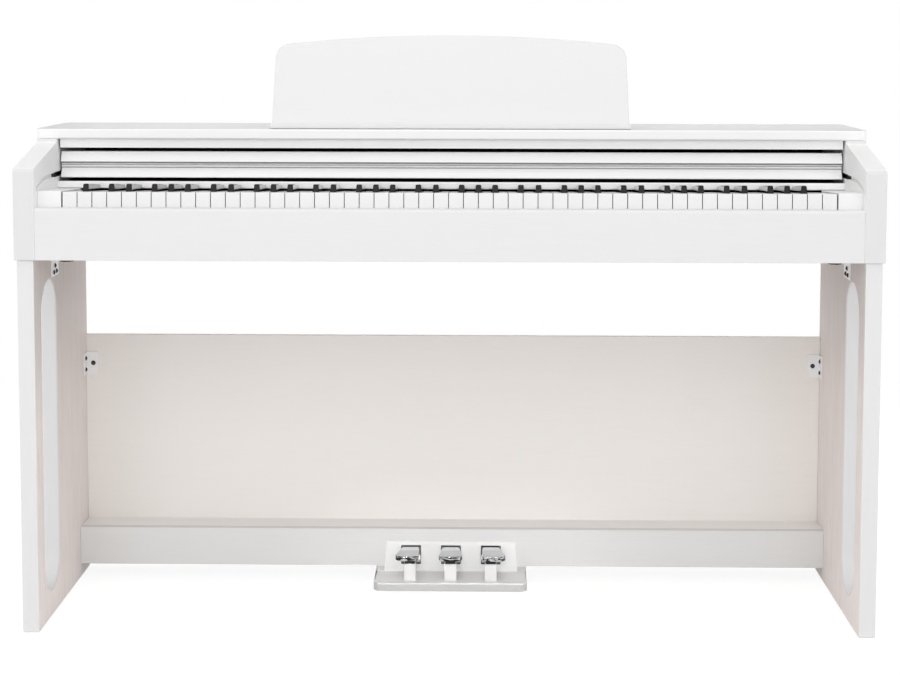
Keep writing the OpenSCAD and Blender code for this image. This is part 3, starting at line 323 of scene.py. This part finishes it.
def painted_shade_upwards(finish, start, end, share):
    """Paints shade into a foil's colour up the board, to a share of its lightness at the top."""
    tree = finish.node_tree
    colour = tree.nodes["Principled BSDF"].inputs["Base Color"]
    place = tree_node(tree, "ShaderNodeTexCoord").outputs["Object"]
    height = tree_node(tree, "ShaderNodeSeparateXYZ", [(place, "Vector")]).outputs["Z"]
    rise = tree_node(tree, "ShaderNodeMapRange", [(height, "Value")],
                     interpolation_type="SMOOTHSTEP", in_From_Min=start, in_From_Max=end,
                     in_To_Min=1, in_To_Max=share)
    painted_shade_colour = tree_node(tree, "ShaderNodeVectorMath",
                       [(colour.links[0].from_socket, 0), (rise.outputs[0], 1)],
                       operation="MULTIPLY")
    tree.links.new(painted_shade_colour.outputs[0], colour)


FOIL_WHITE = (0.86, 0.855, 0.85)
LEG_WHITE = (0.92, 0.855, 0.83)
EDGING_PAINTED_SHADE = (0.77, 0.765, 0.77)
GRAIN_UPRIGHT = (1, 1, 0.035)
SHADE_FROM, SHADE_TO, SHADE_SHARE = 0.30, 0.55, 0.78
SLOT_ROUNDING, BOARD_ROUNDING, EDGE_STRIP = 0.0035, 0.0015, 0.02
leg_foil_painted_shade = wood_foil("leg_foil_upright_painted_shade", GRAIN_UPRIGHT, LEG_WHITE, contrast=0.045, press=0.0003)
# Painted shade: inside, the legs darken towards the top, where the cabinet shades them.
painted_shade_upwards(leg_foil_painted_shade, SHADE_FROM, SHADE_TO, SHADE_SHARE)
outer_foil = wood_foil("leg_foil_outside", GRAIN_UPRIGHT, FOIL_WHITE, contrast=0.012)
# Painted shade: the edging is painted darker than the foil, against the light that falls on it.
edge_band_painted_shade = wood_foil("leg_edge_band_painted_shade", GRAIN_UPRIGHT, EDGING_PAINTED_SHADE)
for side in ("left", "right"):
    bm = merged(f"{side}_leg")
    leg_low, leg_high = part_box(f"{side}_leg")
    ease_edges(bm, SLOT_ROUNDING, 5, wanted=lambda edge: all(
        leg_low[k] + EDGE_STRIP < v.co[k] < leg_high[k] - EDGE_STRIP
        for v in edge.verts for k in (1, 2)))
    ease_edges(bm, BOARD_ROUNDING, 3, sharp=50)
    leg = finished(bm, f"{side}_leg", f"leg_board_{side}", leg_foil_painted_shade)
    second_finish(leg, edge_band_painted_shade, lambda centre, normal: abs(normal.x) < 0.9)
    second_finish(leg, outer_foil, lambda centre, normal: normal.x * centre.x > 0.5)

# Back panel: a thin board in cream foil that closes the stand between the legs, with its grain
# lying across. Steel angles hold its ends to the legs.
CREAM = (0.915, 0.89, 0.865)
GRAIN_LYING = (0.035, 1, 1)
lying_cream = wood_foil("cream_foil_lying", GRAIN_LYING, CREAM)
eased("back_panel", "back_board", lying_cream, ease=0.001)

# Stretcher: a front board and a top board in white foil, glued at a right angle. They close the
# foot of the stand and stiffen it. The front board is painted darker and the top board lighter
# than the foil, as painted shade and painted light for how the light falls on them.
stretcher_front_painted_shade = wood_foil("stretcher_front_foil_painted_shade", GRAIN_LYING, (0.79, 0.79, 0.785))
stretcher_top_painted_light = wood_foil("stretcher_top_foil_painted_light", GRAIN_LYING, (0.97, 0.96, 0.95))
eased("stretcher_front", "stretcher_front_board", stretcher_front_painted_shade)
eased("stretcher_top", "stretcher_top_board", stretcher_top_painted_light)

# Stand brackets: folded steel angles painted white, screwed to the legs, the back panel and
# the cabinet with black screws.
GLOSSIEST, FINE_RELIEF = 0.02, 12  # lowest roughness, and relief against mottle in scale


def plain_finish(name, dark, light, roughness, grain=60, relief=0.0002, metallic=0.0,
                 stretch=(1, 1, 1), swing=0.06, **fixed):
    """An even finish with a slight mottle in its colour, its gloss and its relief."""
    made, tree, shader, place = new_finish(name, roughness, metallic, **fixed)
    laid = tree_node(tree, "ShaderNodeMapping", [(place, "Vector")], in_Scale=stretch)
    mottle = tree_node(tree, "ShaderNodeTexNoise", [(laid.outputs[0], "Vector")],
                       in_Scale=grain, in_Detail=4, in_Roughness=0.6).outputs["Fac"]
    tree.links.new(between(tree, mottle, dark, light), shader.inputs["Base Color"])
    gloss = tree_node(tree, "ShaderNodeMapRange", [(mottle, "Value")],
                      in_To_Min=max(GLOSSIEST, roughness - swing), in_To_Max=roughness + swing)
    tree.links.new(gloss.outputs[0], shader.inputs["Roughness"])
    fine = tree_node(tree, "ShaderNodeTexNoise", [(laid.outputs[0], "Vector")],
                     in_Scale=grain * FINE_RELIEF, in_Detail=3)
    bump = tree_node(tree, "ShaderNodeBump", [(fine.outputs["Fac"], "Height")],
                     in_Strength=0.25, in_Distance=relief)
    tree.links.new(bump.outputs[0], shader.inputs["Normal"])
    return made


white_paint = plain_finish("white_bracket_paint", (0.93, 0.93, 0.94), (0.96, 0.96, 0.97), 0.35)
black_oxide = plain_finish("black_screw_steel", (0.012, 0.012, 0.013), (0.03, 0.03, 0.032), 0.35,
                           grain=200)
eased("panel_brackets", "panel_angle_brackets", white_paint, ease=0.0005, steps=2)
eased("leg_brackets", "leg_angle_brackets", white_paint, ease=0.0005, steps=2)
eased("stand_screws", "stand_screw_heads", black_oxide, ease=0.0002, steps=1)

# Pedal unit: a base plate with two risers and a slotted panel, moulded in white plastic. The
# white is painted darker on the front of the base and on the posts as painted shade, and lighter
# on the top of the base and on the panel as painted light. The slot walls and the back of the
# panel are painted black, as painted shade in the slots. Posts with black pads stand under the
# tips of the pedals.
PANEL_RIM, PANEL_REACH, SLOT_EASE = 0.003, 0.1, 0.0009
post_moulding_painted_shade = plain_finish("post_plastic_painted_shade", (0.79, 0.79, 0.78), (0.83, 0.83, 0.82),
                              0.35)
base_moulding_painted_shade = plain_finish("base_plate_plastic_painted_shade", (0.56, 0.56, 0.55), (0.59, 0.59, 0.58), 0.4)
panel_moulding_painted_light = plain_finish("slot_panel_plastic_painted_light", (0.94, 0.94, 0.935), (0.96, 0.96, 0.955),
                              0.35)
rubber_and_slot_shade = plain_finish("rubber_and_slot_shade", (0.006, 0.006, 0.006), (0.015, 0.015, 0.015), 0.6)
plate = eased("pedal_base", "pedal_base_plate", base_moulding_painted_shade, ease=0.0012)
# Painted light: the top of the base is painted as light as the panel.
second_finish(plate, panel_moulding_painted_light, lambda centre, normal: normal.z > 0.5)
panel_low, panel_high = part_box("pedal_panel")


def in_panel(place):
    """True where the slots are, away from the rim of the panel."""
    return (abs(place.x) < PANEL_REACH
            and panel_low[2] + PANEL_RIM < place.z < panel_high[2] - PANEL_RIM)


bm = merged("pedal_panel")
ease_edges(bm, SLOT_EASE, 2, wanted=lambda edge: all(in_panel(v.co) for v in edge.verts))
slot_panel = finished(bm, "pedal_panel", "pedal_slot_panel", panel_moulding_painted_light)
# Painted shade: the slot walls and the back of the panel are painted black.
second_finish(slot_panel, rubber_and_slot_shade, lambda centre, normal:
              normal.y > 0.9 or (in_panel(centre) and normal.y > -0.95))
eased("pedal_stops", "pedal_stop_posts", post_moulding_painted_shade, ease=0.001)
eased("pedal_stop_pads", "pedal_pads", rubber_and_slot_shade, ease=0.0008)

# Pedals: pressed steel blades, polished and chrome plated. Each flares to a round tip, and its
# edge is turned down all round over a wide bend. The turned edge has dark and bright streaks
# painted into its chrome colour, as a painted reflection.
BLADE_BEND, BLADE_EDGE, TOP_BAND = 0.0019, 0.0004, 1e-4
chrome = plain_finish("pedal_chrome", (0.60, 0.61, 0.62), (0.68, 0.685, 0.69), 0.07, grain=20,
                      relief=0.00002, metallic=1.0, swing=0.03)


def painted_reflection_chrome():
    """Chrome with a painted reflection: soft streaks on the turned edge, nearly black to bright.
    """
    made, tree, shader, place = new_finish("edge_chrome_painted_reflection", 0.12, 1.0)
    laid = tree_node(tree, "ShaderNodeMapping", [(place, "Vector")], in_Scale=(0.7, 0.7, 2.6))
    streaks = tree_node(tree, "ShaderNodeTexNoise", [(laid.outputs[0], "Vector")],
                        in_Scale=130, in_Detail=2, in_Roughness=0.5, in_Distortion=0.8)
    steps = tree_node(tree, "ShaderNodeMapRange", [(streaks.outputs["Fac"], "Value")],
                      in_From_Min=0.46, in_From_Max=0.60)
    tint = between(tree, steps.outputs[0], (0.03, 0.03, 0.034), (0.62, 0.63, 0.64))
    tree.links.new(tint, shader.inputs["Base Color"])
    return made


edge_chrome_painted_reflection = painted_reflection_chrome()
for side in ("left", "center", "right"):
    blade = merged(f"pedal_{side}")
    blade_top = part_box(f"pedal_{side}")[1][2]
    ease_edges(blade, BLADE_BEND, 5,
               wanted=lambda edge: all(v.co.z > blade_top - TOP_BAND for v in edge.verts))
    ease_edges(blade, BLADE_EDGE, 2, sharp=50)
    blade = finished(blade, f"pedal_{side}", f"pedal_blade_{side}", chrome)
    # Painted reflection: the turned edge gets the streaked chrome.
    second_finish(blade, edge_chrome_painted_reflection, lambda centre, normal: normal.z < 0.55)

# Pedal works: a zinc plated frame on the base plate, a bright rod through the bosses of the
# pedals, and a coil spring under each blade, each set out as a piece of its own.
grey_zinc = plain_finish("grey_zinc", (0.26, 0.27, 0.28), (0.36, 0.37, 0.38), 0.38, metallic=0.8)
bright_steel = plain_finish("bright_steel", (0.60, 0.60, 0.61), (0.72, 0.72, 0.73), 0.22,
                            metallic=1.0, stretch=(0.1, 1, 1))


def dress(node, material):
    """Gives a solid that keeps its own shape its finish."""
    solid = frame["nodes"][node]
    solid.data.materials.clear()
    solid.data.materials.append(material)


dress("pedal_frame", grey_zinc)
dress("pedal_rod", bright_steel)
springs_low, springs_high = (Vector(corner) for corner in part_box("pedal_springs"))
coil_width = springs_high.y - springs_low.y
spring_pitch = (springs_high.x - springs_low.x - coil_width) / 2
for step, side in enumerate(("left", "center", "right")):
    foot = Vector((springs_low.x + coil_width / 2 + step * spring_pitch,
                   (springs_low.y + springs_high.y) / 2, springs_low.z))
    bm = merged("pedal_springs")
    bmesh.ops.delete(bm, geom=[v for v in bm.verts if abs(v.co.x - foot.x) > coil_width],
                     context="VERTS")
    spring = set_out(f"pedal_spring_{side}", bm, bright_steel, None,
                     ["pedal_springs"], flats=False)
    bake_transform(spring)

# Bottom board: particle board that carries the keyboard and the speakers, screwed between the
# side arms. Its underside is left raw, without foil.
lying_foil = wood_foil("white_foil_lying", GRAIN_LYING, FOIL_WHITE)
raw_board = plain_finish("raw_particle_board", (0.24, 0.17, 0.13), (0.36, 0.27, 0.21), 0.8,
                         grain=140, relief=0.0006, Specular_IOR_Level=0.2)
bottom = eased("bottom_board", "bottom_panel", lying_foil)
second_finish(bottom, raw_board, lambda centre, normal: normal.z < -0.9)

# Side arms: thick boards in white foil with rounded front and top edges. The foil is painted a
# little lighter as painted light, and the front faces darker as painted shade. A groove cut in
# the inner side guides the key cover, and from behind the keys back it is painted black as
# painted shade.
GRAIN_DEEP = (1, 0.035, 1)
GROOVE_SHADE_FRONT, GROOVE_SHADE_DEPTH = -0.053, 0.0057
GROOVE_SHADE_BELOW, GROOVE_SHADE_ABOVE = 0.001, 0.0075
ARM_ROUNDING = 0.0012
arm_foil_painted_light = wood_foil("white_foil_deep_painted_light", GRAIN_DEEP, (0.90, 0.90, 0.895), contrast=0.008)
arm_front_shade = wood_foil("arm_front_painted_shade", GRAIN_UPRIGHT, (0.74, 0.74, 0.745))
groove_painted_shade = plain_finish("groove_black_painted_shade", (0.01, 0.01, 0.01), (0.02, 0.02, 0.02), 0.5)
arm_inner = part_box("right_arm")[0][0]
roller_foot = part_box("cover_guides")[0][2]
for side in ("left", "right"):
    bm = merged(f"{side}_arm")
    bmesh.ops.bisect_plane(bm, geom=bm.verts[:] + bm.edges[:] + bm.faces[:],
                           plane_co=(0, GROOVE_SHADE_FRONT, 0), plane_no=(0, 1, 0), dist=1e-6)
    ease_edges(bm, ARM_ROUNDING, 3)
    arm = finished(bm, f"{side}_arm", f"arm_board_{side}", arm_foil_painted_light)
    # Painted shade: the back part of the groove is painted black.
    second_finish(arm, groove_painted_shade, lambda centre, normal:
                  centre.y > GROOVE_SHADE_FRONT
                  and arm_inner < abs(centre.x) < arm_inner + GROOVE_SHADE_DEPTH
                  and -GROOVE_SHADE_BELOW < centre.z - roller_foot < GROOVE_SHADE_ABOVE)
    # Painted shade: the front faces are painted darker than the rest of the arm.
    second_finish(arm, arm_front_shade, lambda centre, normal: normal.y < -0.6)

# Rear panel and front rail: boards in white foil between the arms. The rail's foil is painted
# darker as painted shade. The inner side of the rear panel is painted black, as painted shade in
# the gaps over the key cover.
rear_inside_painted_shade = plain_finish("rear_inside_black_painted_shade", (0.008, 0.008, 0.008), (0.016, 0.016, 0.015),
                           0.8, Specular_IOR_Level=0.2)
rear_board = eased("rear_panel", "rear_board", lying_foil, ease=0.0008)
second_finish(rear_board, rear_inside_painted_shade, lambda centre, normal: normal.y < -0.9)
rail_foil_painted_shade = wood_foil("white_rail_foil_painted_shade", GRAIN_LYING, (0.775, 0.77, 0.775))
eased("front_rail", "rail_board", rail_foil_painted_shade, ease=0.0008)

# Speakers: paper cones on a steel chassis over round holes in the bottom board, with black
# slotted grilles clipped in from below.
black_moulding = plain_finish("black_moulded_plastic", (0.018, 0.018, 0.018),
                              (0.034, 0.034, 0.034), 0.5)
dress("speakers", black_moulding)

# Connector panel: a black moulding set in the rear panel, with the power button and a fluted
# volume knob in dark grey plastic.
grey_moulding = plain_finish("grey_moulded_plastic", (0.05, 0.05, 0.055), (0.08, 0.08, 0.085),
                             0.42)
eased("jack_panel", "connector_panel", black_moulding, ease=0.0004, steps=2)
eased("power_button", "power_push_button", grey_moulding, ease=0.0006)
eased("volume_knob", "volume_turn_knob", grey_moulding, ease=0.0003, steps=2)

# Electronics: the main board beside the connectors and the contact board under the keys, both
# of green glass laminate.
laminate = plain_finish("green_laminate", (0.008, 0.035, 0.016), (0.016, 0.06, 0.026), 0.4)
dress("main_board", laminate)
dress("contact_board", laminate)

# Key bed: a folded chassis of zinc plated sheet with the bright pivot rod at its back and two
# strips of red felt that the keys land on.
dress("key_chassis", grey_zinc)
dress("key_rod", bright_steel)
felt = plain_finish("red_felt", (0.20, 0.015, 0.02), (0.36, 0.035, 0.04), 0.9, grain=260,
                    relief=0.0008, Sheen_Weight=0.5)
dress("key_felts", felt)

# White keys: glossy white plastic tops with a deep front lip, the tops painted lighter and the
# lip less bright, as painted light and painted shade. The flanks are painted near black, as
# painted shade in the thin gaps between the keys. Their edges are eased.
key_top_painted_light = plain_finish("white_key_top_painted_light", (0.88, 0.88, 0.878), (0.90, 0.90, 0.898), 0.16,
                         grain=25, relief=0.00003, swing=0.04)
key_lip_painted_shade = plain_finish("white_key_lip_painted_shade", (0.76, 0.76, 0.758), (0.78, 0.78, 0.778), 0.16,
                       grain=25, relief=0.00003, swing=0.04)
key_gap_shade = plain_finish("key_gap_painted_shade", (0.022, 0.016, 0.013), (0.04, 0.03, 0.025), 0.7,
                         stretch=(1, 0.1, 1))
for node in ("bass_white_keys", "key_c", "key_d", "key_e", "key_f", "key_g", "key_a", "key_b",
             "treble_white_keys"):
    key = eased(node, f"{node}_gloss", key_top_painted_light, ease=0.0005, steps=3)
    # Painted shade: the flanks and the outer halves of their rounded edges are painted near
    # black.
    second_finish(key, key_gap_shade,
                  lambda centre, normal: abs(normal.x) > 0.45 and abs(normal.z) < 0.3)
    second_finish(key, key_lip_painted_shade, lambda centre, normal: normal.y < -0.5)

# Black keys: narrower and tapered, moulded in glossy black plastic with a sloping front. The
# front is left as it comes out of the mould, and the flanks and the top are polished.
key_black = plain_finish("black_key_plastic", (0.006, 0.006, 0.007), (0.012, 0.012, 0.014), 0.1,
                         grain=90, relief=0.00004, swing=0.03, IOR=1.6,
                         Coat_Weight=0.7, Coat_IOR=1.6)
key_black_front = plain_finish("black_key_front", (0.004, 0.004, 0.005), (0.009, 0.009, 0.011),
                               0.25, grain=90, relief=0.00004, Specular_IOR_Level=0.2)
for node in ("bass_black_keys", "key_c_sharp", "key_d_sharp", "key_f_sharp", "key_g_sharp",
             "key_a_sharp", "treble_black_keys"):
    key = eased(node, f"{node}_moulded", key_black, ease=0.0006, steps=3)
    second_finish(key, key_black_front, lambda centre, normal: normal.y < -0.25)


# Cheek blocks beside the keys and the strip behind them: boards in a brighter white lacquer. The
# brightness is partly the lacquer's own whiter colour and partly painted light against the shade
# of the key cover and the lid. The top and the underside of the strip, in the gaps by the key
# cover, are painted black as painted shade.
def lacquered(name, colour):
    """A board with hardly any grain left to see under its lacquer."""
    return wood_foil(name, GRAIN_LYING, colour, contrast=0.003, press=0.00003, sheen=0.12)


# Painted light, in part: this lacquer is painted brighter than the foil, against the shade under
# the lid.
white_lacquer_and_painted_light = lacquered("white_lacquer_and_painted_light", (0.955, 0.955, 0.952))
cheek_lacquer = lacquered("cheek_lacquer", (0.86, 0.86, 0.86))
strip_gap_painted_shade = plain_finish("strip_gap_painted_shade", (0.005, 0.005, 0.005), (0.012, 0.012, 0.012), 0.95,
                           grain=300, relief=0.0005, Specular_IOR_Level=0.1)
eased("cheek_blocks", "key_cheeks", cheek_lacquer, ease=0.0008)
strip = eased("cover_tray", "key_strip", white_lacquer_and_painted_light, ease=0.0004, steps=2)
# Painted shade: the top and the underside of the strip are painted black.
second_finish(strip, strip_gap_painted_shade, lambda centre, normal: abs(normal.z) > 0.9)

# Key cover: a panel that slides back into the cabinet on nylon rollers, behind a moulded front
# bar with a cove and two beads, all in white lacquer. The narrow grooves beside the beads and
# the undersides over the cove are painted grey, as painted shade.
BEADS_FROM = 0.015
GROOVE_HEIGHTS, GROOVE_REACH = (0.0250, 0.0211, 0.0170), 0.0009
bead_groove_painted_shade = plain_finish("bead_groove_painted_shade", (0.40, 0.40, 0.41), (0.46, 0.46, 0.47), 0.6)
eased("cover_panel", "cover_board", white_lacquer_and_painted_light, ease=0.0008)
bar = eased("cover_moulding", "cover_front_bar", white_lacquer_and_painted_light, ease=0.0002,
            steps=2, sharp=60)
bar_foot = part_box("cover_moulding")[0][2]
# Painted shade: grey on the undersides and in the grooves beside the beads.
second_finish(bar, bead_groove_painted_shade, lambda centre, normal:
              (normal.z < -0.8 and centre.z > bar_foot + BEADS_FROM)
              or (normal.y < -0.98 and any(abs(centre.z - bar_foot - height) < GROOVE_REACH
                                           for height in GROOVE_HEIGHTS)))
nylon = plain_finish("guide_nylon", (0.70, 0.70, 0.68), (0.78, 0.78, 0.76), 0.4)
dress("cover_guides", nylon)

# Fascia and lid: the strip over the key cover and the flat top with its round front corners.
# The edge of the lid is lacquered, painted a little less bright than the fascia, and its top is
# matt and painted darker still, both as painted shade.
lid_edge_painted_shade = lacquered("lid_edge_painted_shade", (0.895, 0.895, 0.895))
lid_top_painted_shade = wood_foil("lid_top_foil_painted_shade", GRAIN_LYING, (0.70, 0.70, 0.695), sheen=0.01)
eased("upper_fascia", "fascia_strip", white_lacquer_and_painted_light, ease=0.0005, steps=2)
lid = eased("top_lid", "lid_board", lid_edge_painted_shade, ease=0.0008)
# Painted shade: the top of the lid is painted darker than its edge.
second_finish(lid, lid_top_painted_shade, lambda centre, normal: normal.z > 0.9)

# Music rest: a leaning board in white foil with a crowned top and round corners, a ledge at its
# foot, and two steel hinges on which it folds down to the lid. Its foil is painted darker, as
# painted shade.
rest_foil_painted_shade = wood_foil("rest_foil_painted_shade", GRAIN_LYING, (0.775, 0.775, 0.775), contrast=0.003)
eased("music_rest", "rest_board", rest_foil_painted_shade, ease=0.0018)
eased("music_ledge", "rest_ledge", rest_foil_painted_shade, ease=0.0005, steps=2)
eased("rest_hinges", "rest_hinge_fixed", bright_steel, ease=0.0002, steps=2)
eased("rest_hinge_leaves", "rest_hinge_moving", bright_steel, ease=0.0002,
      steps=2)

# Hand knobs: black moulded clamping knobs under the cabinet that hold it on the brackets of
# the stand.
eased("leg_knobs", "clamp_knobs", black_moulding, ease=0.0006, steps=2)
